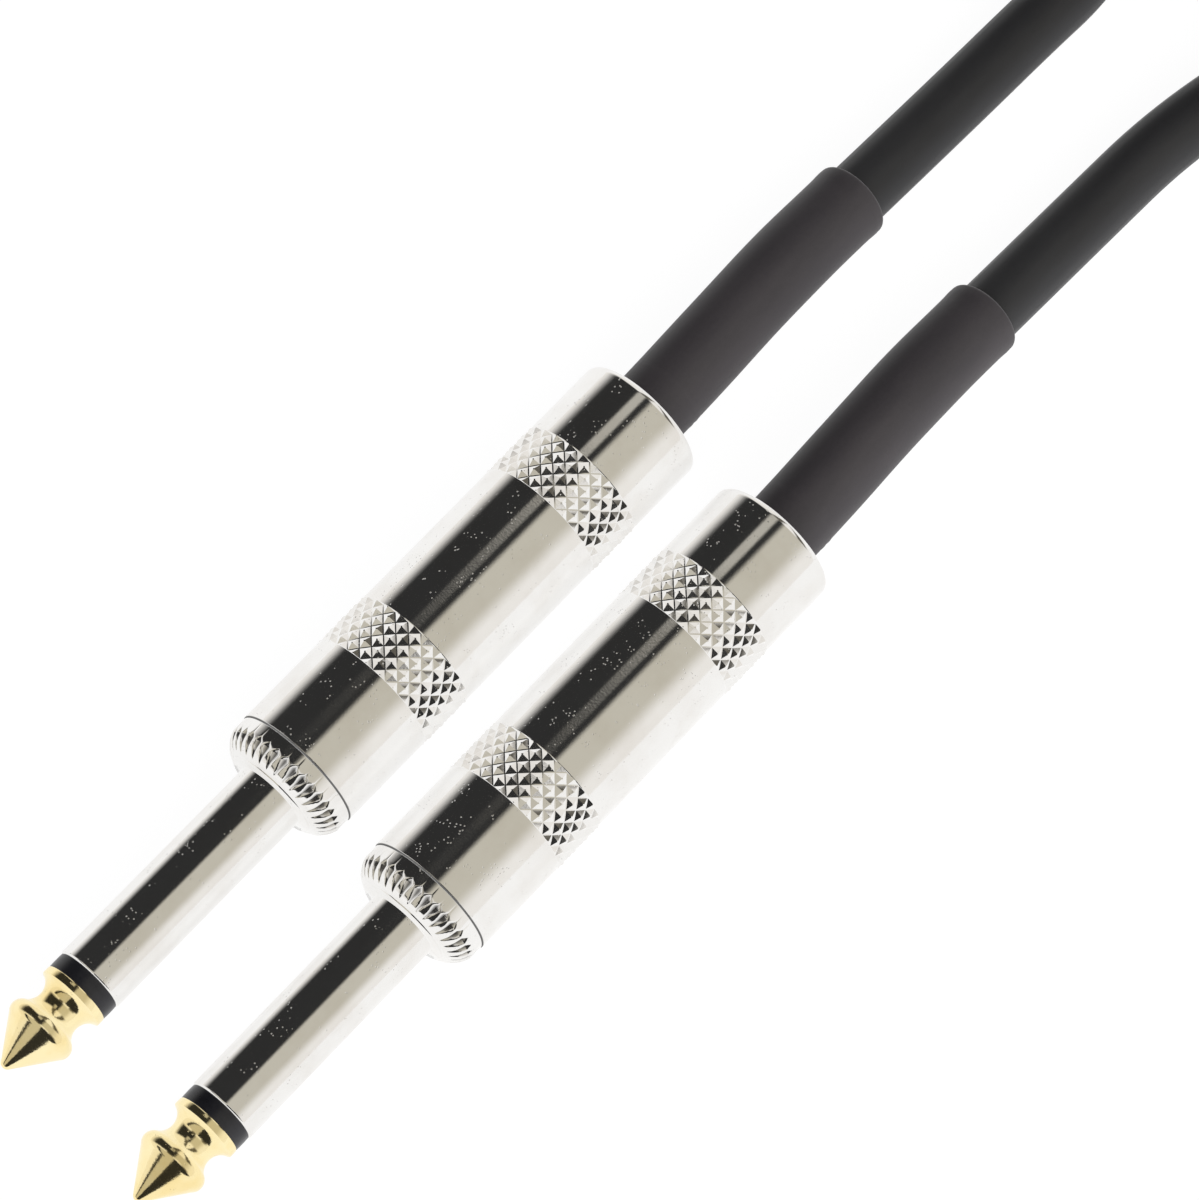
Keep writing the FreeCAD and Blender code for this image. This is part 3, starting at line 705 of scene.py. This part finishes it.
def grown(name, tree, values):
    """The plain mesh that a tree makes from its inputs' values."""
    holder = bpy.data.objects.new(name, bpy.data.meshes.new(name))
    bpy.context.scene.collection.objects.link(holder)
    modifier = holder.modifiers.new(name, "NODES")
    modifier.node_group = tree
    for item in tree.interface.items_tree:
        if item.in_out == "INPUT" and item.name in values:
            modifier[item.identifier] = values[item.name]
    evaluated = holder.evaluated_get(bpy.context.evaluated_depsgraph_get())
    mesh = bpy.data.meshes.new_from_object(evaluated)
    holder.modifiers.remove(modifier)
    bpy.data.objects.remove(holder)
    print(name, "grew", len(mesh.polygons), "faces")
    return mesh


def ring_of_copies():
    """Copies of one sector about the X axis, welded into a ring."""
    nodes, given = new_tree("ring of copies", [
        ("Sector", "NodeSocketObject"), ("Count", "NodeSocketInt"),
        ("Weld", "NodeSocketFloat"), ("Finish", "NodeSocketMaterial")])
    points = nodes.add("GeometryNodePoints", {}, {"Count": given["Count"]})
    number = nodes.add("GeometryNodeInputIndex")
    turn = number / given["Count"] * (2 * math.pi)
    about_x = nodes.add("ShaderNodeCombineXYZ", {}, {"X": turn})
    sector = nodes.add("GeometryNodeObjectInfo", {}, {"Object": given["Sector"]}, "Geometry")
    copies = nodes.add("GeometryNodeInstanceOnPoints", {},
                       {"Points": points, "Instance": sector, "Rotation": about_x})
    real = nodes.add("GeometryNodeRealizeInstances", {}, [copies])
    welded = nodes.add("GeometryNodeMergeByDistance", {},
                       {"Geometry": real, "Distance": given["Weld"]})
    finished = nodes.add("GeometryNodeSetMaterial", {},
                         {"Geometry": welded, "Material": given["Finish"]})
    nodes.add("NodeGroupOutput", {}, {"Geometry": finished})
    return nodes.tree


sector_object = bpy.data.objects.new("rim sector", rim_sector())
bpy.context.scene.collection.objects.link(sector_object)
rim = grown("rim", ring_of_copies(), {"Sector": sector_object, "Count": TOOTH_COUNT,
                                      "Weld": 0.001 * MM, "Finish": nickel})
bpy.data.objects.remove(sector_object)

# %% The collar's threaded spigot
THREAD_ROOT, THREAD_DEPTH, THREAD_START = 4.45, 0.5, 35.4
spigot = (Lathe(96).follow([(34.7, 2.25), (34.7, THREAD_ROOT), (35.2, THREAD_ROOT)])
          .thread(41.3, THREAD_ROOT, THREAD_DEPTH, THREAD_START, (0.2, 0.3))
          .follow([(41.42, THREAD_ROOT), (41.5, THREAD_ROOT - 0.1), (41.5, 2.25)])
          .finished("spigot"))


def rim_painted_shade(x, radius):
    """Painted shade: the seam's wall is dark, and so is the bottom of each notch."""
    if x > SEAM - 0.005:
        return 1.0 if radius > 5.0 and x < SEAM + 0.005 else 0.0
    if NOTCH_FRONT < x < NOTCH_END and radius > 4.4:
        for (x1, r1), (x2, r2) in zip(rim_places, rim_places[1:]):
            if x1 <= x <= x2 and r1 > 4.4:
                depth = r1 + (r2 - r1) * (x - x1) / (x2 - x1) - radius
                return 0.8 * eased(depth / 0.36)
    return 0.0


rim_places = outline_places(RIM_OUTLINE, arc_steps=30)
# Painted shade on the collar: its seam wall and notch bottoms are darkened.
collar = mark_painted_shade(smooth(joined("collar", [rim, spigot]), 40.0), rim_painted_shade)
add_to_plugs("collar", collar, nickel, "collar")

# %% [markdown]
# ## The barrel and its knurling
# The barrel is turned, with two bands rolled into a diamond knurl for the fingers. The turned
# body is sunk under each band, and Geometry Nodes fill the band with small pyramids: one
# four-sided cone on each point of two staggered sets, laid out flat, trimmed to the band's
# width, and then rolled round the barrel. Each pyramid stands on the sunk floor, which shows
# between them as the thin bright lines of a real knurl.

# %% The barrel's body
BARREL_RADIUS, BARREL_REAR = 6.0, 77.4
BAND_STARTS, BAND_WIDTH, BAND_FLOOR = (9.0, 29.5), 5.0, 5.80
BORE, GROOVE = 4.6, 0.5
MOUTH, GROOVED_TO, REAR_WALL, CABLE_HOLE = 35.1, 42.0, 74.9, 3.72
outline = [(REAR_WALL, BORE), (REAR_WALL, CABLE_HOLE), (BARREL_REAR - 0.08, CABLE_HOLE),
           (BARREL_REAR, CABLE_HOLE + 0.08), (BARREL_REAR, BARREL_RADIUS - 0.7),
           (BARREL_REAR - 0.205, BARREL_RADIUS - 0.205, BARREL_REAR - 0.7, BARREL_RADIUS)]
for start in reversed(BAND_STARTS):
    front, back = BARREL_FRONT + start, BARREL_FRONT + start + BAND_WIDTH
    outline += [(back + 0.05, BARREL_RADIUS), (back, BARREL_RADIUS - 0.04), (back, BAND_FLOOR),
                (front, BAND_FLOOR), (front, BARREL_RADIUS - 0.04), (front - 0.05, BARREL_RADIUS)]
outline += [(BARREL_FRONT + 0.05, BARREL_RADIUS), (BARREL_FRONT, BARREL_RADIUS - 0.05),
            (BARREL_FRONT, BORE + GROOVE + 0.1)]
body = (Lathe().follow([(MOUTH, BORE + GROOVE)])
        .thread(GROOVED_TO, BORE, GROOVE, THREAD_START, (0.0, 0.3), open_mouth=1)
        .follow(outline, arc_steps=10).finished("barrel body"))


# %% A tree that knurls a band
def knurled_band():
    """A band of pyramids between X = 0 and the band's width."""
    nodes, given = new_tree("knurled band", [
        ("Around", "NodeSocketInt"), ("Rows", "NodeSocketInt"), ("Pitch", "NodeSocketFloat"),
        ("Width", "NodeSocketFloat"), ("Floor Radius", "NodeSocketFloat"),
        ("Height", "NodeSocketFloat"), ("Finish", "NodeSocketMaterial")])
    number = nodes.add("GeometryNodeInputIndex")
    row = (number / given["Around"]).maths("FLOOR")
    stagger = (row % 2.0) * 0.5
    step = given["Floor Radius"] * (2 * math.pi) / given["Around"]
    across = (number % given["Around"] + stagger) * step
    flat = nodes.add("ShaderNodeCombineXYZ", {}, {"X": row * given["Pitch"] * 0.5, "Y": across})
    points = nodes.add("GeometryNodePoints", {},
                       {"Count": given["Around"] * given["Rows"], "Position": flat})
    pyramid = nodes.add("GeometryNodeMeshCone", {"fill_type": "NGON"}, {
        "Vertices": 4, "Side Segments": 2, "Fill Segments": 1, "Radius Top": 0.12,
        "Radius Bottom": 1.0, "Depth": 1.0})
    size = nodes.add("ShaderNodeCombineXYZ", {},
                     {"X": given["Pitch"] * 0.5, "Y": step * 0.5, "Z": given["Height"]})
    copies = nodes.add("GeometryNodeInstanceOnPoints", {},
                       {"Points": points, "Instance": pyramid, "Scale": size})
    real = nodes.add("GeometryNodeRealizeInstances", {}, [copies])
    x, y, z = nodes.axes(nodes.add("GeometryNodeInputPosition"))
    radius = given["Floor Radius"] + z
    turn = y / given["Floor Radius"]
    rolled = nodes.add("ShaderNodeCombineXYZ", {}, {
        "X": x.clipped(0.0, given["Width"]),
        "Y": radius * turn.maths("COSINE"), "Z": radius * turn.maths("SINE")})
    moved = nodes.add("GeometryNodeSetPosition", {}, {"Geometry": real, "Position": rolled})
    finished = nodes.add("GeometryNodeSetMaterial", {},
                         {"Geometry": moved, "Material": given["Finish"]})
    nodes.add("NodeGroupOutput", {}, {"Geometry": finished})
    return nodes.tree


band = grown("band", knurled_band(), {
    "Around": 25, "Rows": 8, "Pitch": 1.43 * MM, "Width": BAND_WIDTH * MM,
    "Floor Radius": (BAND_FLOOR - 0.03) * MM, "Height": 0.30 * MM, "Finish": nickel})
print("pyramids reach", round(max(math.hypot(v.co.y, v.co.z) for v in band.vertices) / MM, 2), "mm")

# %% Put the barrel together
bands = []
for start in BAND_STARTS:
    one = band.copy()
    one.transform(Matrix.Translation(((BARREL_FRONT + start) * MM, 0, 0)))
    bands.append(smooth(one, 25.0))
# Painted shade on the barrel: its front face at the seam is darkened nearly to black.
barrel = mark_painted_shade(joined("barrel", [smooth(body, 25.0), *bands]),
                     lambda x, radius: 1.0 if x < BARREL_FRONT + 0.005 and radius > 5.0 else 0.0)
add_to_plugs("barrel", barrel, nickel, "barrel", "barrel")

# %% [markdown]
# ## The heat-shrunk sleeves
# The sleeve grips the cable inside the barrel, comes straight out of it, and bends with the
# cable. Shrinking leaves it not quite smooth: it has a soft bead at its end, a slight waver
# along its length, and two faint wrinkles just behind the barrel. Rings of points along its
# centre line give it all of that.

# %% Strain relief
SLEEVE_START, SLEEVE_END = 68.4, 105.0
SLEEVE_RADIUS, SLEEVE_BORE = 3.5, 2.92
SLEEVE_LENGTH = SLEEVE_END - SLEEVE_START
DRIFT_X, DRIFT_LENGTH, DRIFT = 76.0, 24.0, 0.68       # sideways, towards +Y
SAG_X, SAG = 81.5, 1.456                              # down to the table


def sleeve_centre(x):
    """The sleeve's centre line: it drifts aside a little, and then sags."""
    sagging = max(x - SAG_X, 0) / (SLEEVE_END - SAG_X)
    return Vector((x, DRIFT * eased((x - DRIFT_X) / DRIFT_LENGTH), -SAG * sagging ** 2))


def sleeve_section(along):
    """Centre of the sleeve's section at a length along it, and two directions across it."""
    x = SLEEVE_START + along
    tangent = (sleeve_centre(x) - sleeve_centre(x - 0.1)).normalized()
    sideways = Vector((0, 0, 1)).cross(tangent).normalized()
    return sleeve_centre(x), sideways.cross(tangent), sideways


def sleeve_mesh(sides=72, rings=110):
    """The sleeve: out along its skin, round its end, and back through its bore."""
    chance = random.Random(7)
    waves = [(chance.uniform(0.15, 0.9), chance.randint(0, 3), chance.uniform(0, 6.28))
             for _ in range(7)]
    behind_barrel = BARREL_REAR - SLEEVE_START
    wrinkles = [(behind_barrel + 2.2, 0.13, 0.050), (behind_barrel + 2.9, 0.15, 0.055)]
    sections = []
    for k in range(rings):
        along = (SLEEVE_LENGTH - 0.42) * k / (rings - 1)
        sections.append((along, SLEEVE_RADIUS, 1.0))
    lip = outline_places([(SLEEVE_LENGTH - 0.42, SLEEVE_RADIUS),
                          (SLEEVE_LENGTH - 0.1, SLEEVE_RADIUS - 0.1, SLEEVE_LENGTH, SLEEVE_RADIUS - 0.36),
                          (SLEEVE_LENGTH - 0.02, SLEEVE_BORE + 0.02)], 8)[1:]
    sections += [(along, radius, 0.4) for along, radius in lip]
    sections += [(along, SLEEVE_BORE, 0.0) for along in (SLEEVE_LENGTH - 0.2, 26, 20, 10, 0)]
    shell = bmesh.new()
    grid = []
    for along, radius, wavering in sections:
        centre, outward, sideways = sleeve_section(along)
        line = []
        for side in range(sides):
            turn = 2 * math.pi * side / sides
            waver = sum(math.sin(rate * along + order * turn + start) for rate, order, start in waves)
            bulge = 0.006 * waver
            bulge += 0.035 * math.exp(-((SLEEVE_LENGTH - 0.9 - along) / 0.5) ** 2)
            facing = 0.5 - 0.5 * math.cos(turn - 0.7)
            for at, width, height in wrinkles:
                bend = 0.35 * math.cos(turn)
                bulge += height * facing * math.exp(-((along - at - bend) / width) ** 2)
            reach = radius + bulge * wavering
            direction = outward * math.cos(turn) + sideways * math.sin(turn)
            line.append(shell.verts.new((centre + direction * reach) * MM))
        grid.append(line)
    for line, following in zip(grid, grid[1:] + grid[:1]):
        for side in range(sides):
            beside = (side + 1) % sides
            shell.faces.new([line[side], following[side], following[beside], line[beside]])
    bmesh.ops.recalc_face_normals(shell, faces=shell.faces)
    mesh = bpy.data.meshes.new("sleeve")
    shell.to_mesh(mesh)
    shell.free()
    print("sleeve has", len(mesh.polygons), "faces")
    return mesh


add_to_plugs("sleeve", smooth(sleeve_mesh(), 50.0), heat_shrink, "strain_relief")


# %% The jacket inside the sleeve
def jacket_mesh(start, sides=48, rings=60):
    """The cable's own jacket, from its cut end inside the barrel to the sleeve's end."""
    shell = bmesh.new()
    grid = []
    for k in range(rings):
        along = start + (SLEEVE_LENGTH - start) * k / (rings - 1)
        centre, outward, sideways = sleeve_section(along)
        line = []
        for side in range(sides):
            turn = 2 * math.pi * side / sides
            direction = outward * math.cos(turn) + sideways * math.sin(turn)
            line.append(shell.verts.new((centre + direction * cable_radius / MM) * MM))
        grid.append(line)
    for line, following in zip(grid, grid[1:]):
        for side in range(sides):
            beside = (side + 1) % sides
            shell.faces.new([line[side], following[side], following[beside], line[beside]])
    shell.faces.new(grid[0])
    shell.faces.new(grid[-1])
    bmesh.ops.recalc_face_normals(shell, faces=shell.faces)
    mesh = bpy.data.meshes.new("jacket end")
    shell.to_mesh(mesh)
    shell.free()
    print("jacket end has", len(mesh.polygons), "faces")
    return mesh


jacket_start = (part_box("jacket_end_a")[0].x - places["a"].x) / MM - SLEEVE_START
add_to_plugs("jacket_end", smooth(jacket_mesh(jacket_start)), jacket, "jacket_end")
cable_curve.materials.append(jacket)

# %% [markdown]
# ## The strap round the hank
# A woven strap with a hook side and a loop side holds the put-away turns. It goes once round
# one run of the hank and closes on itself, so its tail lies a thickness further out. Its
# weave follows a UV map that runs along the strap.

# %% Strap
strap_low, strap_high = (Vector(corner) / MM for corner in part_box("tie"))
STRAP_THICK = 0.94
STRAP_STEP = 1.0                     # how far out the overlapping tail lies
STRAP_CORNER = 3.1


def strap_line():
    """The strap's middle line round the run, as (y, z) places with their outward directions."""
    y0, y1 = strap_low.y + 0.5, strap_high.y - 0.5
    z0, z1 = strap_low.z + 0.5, strap_high.z - 0.5
    r = STRAP_CORNER
    corners = [((y0 + r, z1 - r), 180), ((y1 - r, z1 - r), 90), ((y1 - r, z0 + r), 0),
               ((y0 + r, z0 + r), -90)]
    line = [((y0, z), 180.0) for z in (z0 + 9.0, (z0 + z1) / 2, z1 - r - 1)]
    for (cy, cz), start in corners:
        for k in range(9):
            angle = start - 90 * k / 8
            out = STRAP_STEP * eased(k / 8) if start == -90 else 0.0
            turn = math.radians(angle)
            line.append(((cy + (r + out) * math.cos(turn), cz + r * math.sin(turn)), angle))
    line += [((y0 - STRAP_STEP, z), 180.0) for z in (z0 + r + 3, (z0 + z1) / 2, z1 - r - 4)]
    return line


def strap_mesh():
    """A flat strap swept along its line, with softly rounded edges and flat closed ends."""
    half, edge = strap_width / MM / 2, 0.25
    middle = (strap_low.x + strap_high.x) / 2
    section = [(-half, 0.0), (-half + edge, 0.5), (0.0, 0.5), (half - edge, 0.5), (half, 0.0),
               (half - edge, -0.5), (0.0, -0.5), (-half + edge, -0.5)]
    web = bmesh.new()
    layer = web.loops.layers.uv.new("along")
    grid, travelled, last = [], [], None
    for (y, z), angle in strap_line():
        out = Vector((0, math.cos(math.radians(angle)), math.sin(math.radians(angle))))
        here = Vector((middle, y, z))
        travelled.append(travelled[-1] + (here - last).length if last else 0.0)
        last = here
        grid.append([web.verts.new((here + Vector((x, 0, 0)) + out * STRAP_THICK * rise) * MM)
                     for x, rise in section])
    for k in range(len(grid) - 1):
        for side in range(len(section)):
            beside = (side + 1) % len(section)
            face = web.faces.new([grid[k][side], grid[k][beside], grid[k + 1][beside],
                                  grid[k + 1][side]])
            for loop, (row, column) in zip(face.loops, ((k, side), (k, beside), (k + 1, beside),
                                                        (k + 1, side))):
                loop[layer].uv = (section[column][0] * MM, travelled[row] * MM)
    web.faces.new(grid[0])
    web.faces.new(grid[-1])
    bmesh.ops.recalc_face_normals(web, faces=web.faces)
    mesh = bpy.data.meshes.new("strap")
    web.to_mesh(mesh)
    web.free()
    print("strap is", round(travelled[-1]), "mm long")
    return mesh


def woven():
    """Black webbing: a plain weave from two crossed waves, with fuzz over it."""
    finish = Finish("strap")
    mapped = finish.add("ShaderNodeTexCoord", output="UV")
    u, v, _ = finish.axes(mapped)
    thread = 0.7 * MM
    warp = (u * (2 * math.pi / thread)).maths("SINE")
    weft = (v * (2 * math.pi / thread)).maths("SINE")
    weave = (warp * weft * 0.5 + 0.5).clipped(0.0, 1.0)
    fuzz = finish.noise(finish.place, 4200.0, 3.0, 0.7)
    tone = (0.6 * weave + 0.4 * fuzz).step(0.2, 0.8)
    return finish.done({
        "Base Color": finish.blend(tone, finish.colour((0.010, 0.010, 0.011)),
                                   finish.colour((0.028, 0.028, 0.030))),
        "Roughness": 0.85 - 0.15 * weave,
        "Normal": finish.bump(0.7 * weave + 0.3 * fuzz, 0.00015),
        "Sheen Weight": 0.3,
    })


strap_finish = woven()
add_piece("strap", smooth(strap_mesh(), 45.0), strap_finish, "cable", ["tie"])

# %% [markdown]
# ## The model's own inner pieces
# The pieces that the barrels cover keep the model's shapes, and each takes the finish that its
# record names.

# %% Finish the model's own nodes
finishes["strap"] = strap_finish
for subpart in frame["record"]["subparts"]:
    node = frame["nodes"][subpart["node"]]
    node.data.materials.clear()
    node.data.materials.append(finishes[subpart["material_slot"]])
    node.visible_glossy = False
print(len(frame["nodes"]), "nodes have finishes")

# %% [markdown]
# ## Table and studio light
# The table is a plain pale sheet that glows evenly by itself, so shadows on it are short and faint.
# Polished metal shows the room rather than its own colour. A bright tube in a white room mirrors
# a dark card overhead as one long band. So mirrored rays see a white room with a wide dark card
# above, a warm wall towards -Y, a lamp past the cable and small cards at the sides and before
# the tips. Angles are in degrees round X, from straight up towards -Y. All other rays see a soft
# light that is brighter on the -Y side.

# %% Table
table_mesh = bpy.data.meshes.new("table")
reach = 3.0
table_mesh.from_pydata([(-reach, -reach, 0), (reach, -reach, 0), (reach, reach, 0), (-reach, reach, 0)],
                       [], [(0, 1, 2, 3)])
sheet = Finish("table")
paper = sheet.noise(sheet.place, 40.0, 2.0)
table_mesh.materials.append(sheet.done({
    "Base Color": sheet.blend(paper, sheet.colour((0.12, 0.12, 0.12)), sheet.colour((0.13, 0.13, 0.13))),
    "Roughness": 0.9, "Specular IOR Level": 0.0,
    "Emission Color": sheet.colour((1.0, 1.0, 1.0)), "Emission Strength": 0.94}))
table = bpy.data.objects.new("table", table_mesh)
bpy.context.scene.collection.objects.link(table)


# %% Studio
WHITE, WALL, CARD = (0.95, 0.93, 0.90, 1.0), (0.60, 0.57, 0.49, 1.0), (0.03, 0.03, 0.03, 1.0)
GREY, LAMP = (0.12, 0.11, 0.09, 1.0), (0.50, 0.48, 0.43, 1.0)


def between(value, start, full, falling, end):
    """A share that rises from start to full, stays 1, and falls from falling to end."""
    return value.step(start, full) * (1 - value.step(falling, end))


world = bpy.data.worlds.new("studio")
bpy.context.scene.world = world
world.use_nodes = True
studio = Nodes(world.node_tree)
studio.tree.nodes.clear()
toward_x, toward_y, toward_z = studio.axes(studio.add("ShaderNodeTexCoord"))
angle = (toward_y * -1.0).maths("ARCTAN2", toward_z) * (180 / math.pi)
mirrored = studio.blend(between(angle, 0, 5, 45, 75), WHITE, WALL)
mirrored = studio.blend(between(angle, -90, -65, 5, 15), mirrored, CARD)
lamp = between(angle, -20, -15, -5, 0) * toward_x.step(0.26, 0.30)
mirrored = studio.blend(lamp, mirrored, LAMP)
at_side = 1 - toward_x.step(-0.40, -0.20) + toward_x.step(0.55, 0.70)
side_cards = between(angle, -25, -15, 0, 10) + between(angle, 35, 50, 65, 80)
mirrored = studio.blend(at_side, mirrored, studio.blend(side_cards, WHITE, GREY))
before_tip = studio.blend(between(angle, -65, -60, 115, 120), WHITE, WALL)
tip_cards = between(angle, -65, -60, -50, -45) + between(angle, 10, 15, 100, 120)
before_tip = studio.blend(tip_cards, before_tip, CARD)
mirrored = studio.blend(toward_x.step(-0.48, -0.42), before_tip, mirrored)
soft = studio.blend(angle.step(-10, 55), (0.26, 0.26, 0.27, 1.0), (2.2, 2.18, 2.16, 1.0))
is_mirrored = studio.add("ShaderNodeLightPath", output="Is Glossy Ray")
light = studio.blend(is_mirrored, soft, mirrored)
background = studio.add("ShaderNodeBackground", {}, {"Color": light, "Strength": 1.0})
studio.add("ShaderNodeOutputWorld", {}, {"Surface": background})
world.cycles.sampling_method = "NONE"
bpy.context.scene.view_settings.view_transform = "Standard"
print("the studio has", len(world.node_tree.nodes), "nodes")
